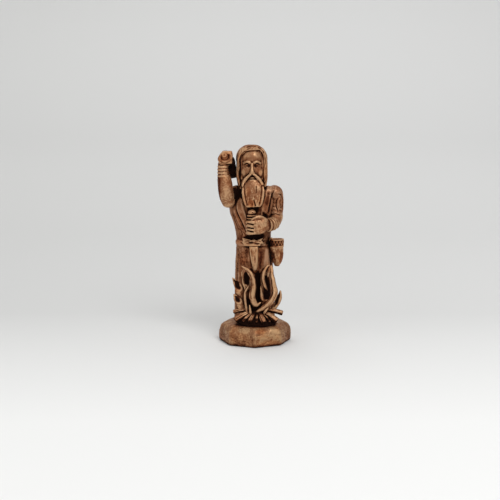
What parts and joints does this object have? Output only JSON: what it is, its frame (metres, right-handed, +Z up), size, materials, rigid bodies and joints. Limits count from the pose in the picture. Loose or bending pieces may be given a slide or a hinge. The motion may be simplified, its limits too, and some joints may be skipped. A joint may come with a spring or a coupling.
{
  "type": "bronze god figurine",
  "caption": "Small cast bronze figurine of a bearded smith god in a belted robe, hammer raised, standing behind a wood fire on an eight-sided plinth.",
  "frame": {"origin": "middle of the plinth's underside", "axes": "+Z up; the figure faces -Y, and its raised right arm is on the -X side"},
  "size_m": [0.0279, 0.0276, 0.0749],
  "materials": {
    "bronze": "satin, with a brown patina that is rubbed to copper on the raised edges and near black in the creases",
    "dark_bronze": "satin, darker brown patina with rubbed edges",
    "steel": "turned, hidden inside the castings"
  },
  "bodies": {
    "root": {"plinth": "bronze", "robe_skirt": "bronze", "belt": "bronze", "belt_bow": "bronze", "sash_end": "bronze", "chest": "bronze", "head_face": "bronze", "head_hair": "bronze", "beard": "bronze", "right_sleeve": "bronze", "right_forearm": "bronze", "right_bracelet": "bronze", "left_sleeve": "bronze", "left_forearm": "bronze", "left_bracelet": "bronze", "pouch": "bronze", "pouch_band": "bronze", "flame_leaf_high": "bronze", "flame_leaf_low": "bronze", "flame_thin": "bronze", "flame_tall_right": "bronze", "flame_back_right": "bronze", "flame_spike": "bronze", "flame_inner_left": "bronze", "flame_tall_left": "bronze", "flame_outer_left": "bronze", "flame_low_left": "bronze", "flame_low_right": "bronze", "hammer_haft": "dark_bronze", "hammer_head": "dark_bronze", "upright_haft": "dark_bronze", "ember_heap": "dark_bronze", "log_right_low": "dark_bronze", "log_right_high": "dark_bronze", "log_front_1": "dark_bronze", "log_front_2": "dark_bronze", "log_front_3": "dark_bronze", "log_front_4": "dark_bronze", "log_front_5": "dark_bronze", "log_left_low": "dark_bronze", "log_left_high": "dark_bronze", "foot_screw": "steel", "foot_dowel": "steel", "fire_peg_right": "steel", "fire_peg_left": "steel", "waist_stud": "steel", "bow_pin": "steel", "pouch_pin": "steel", "neck_pin": "steel", "face_pin": "steel", "beard_pin": "steel", "right_shoulder_pin": "steel", "right_elbow_pin": "steel", "left_shoulder_pin": "steel", "left_elbow_pin": "steel"}
  },
  "joints": []
}
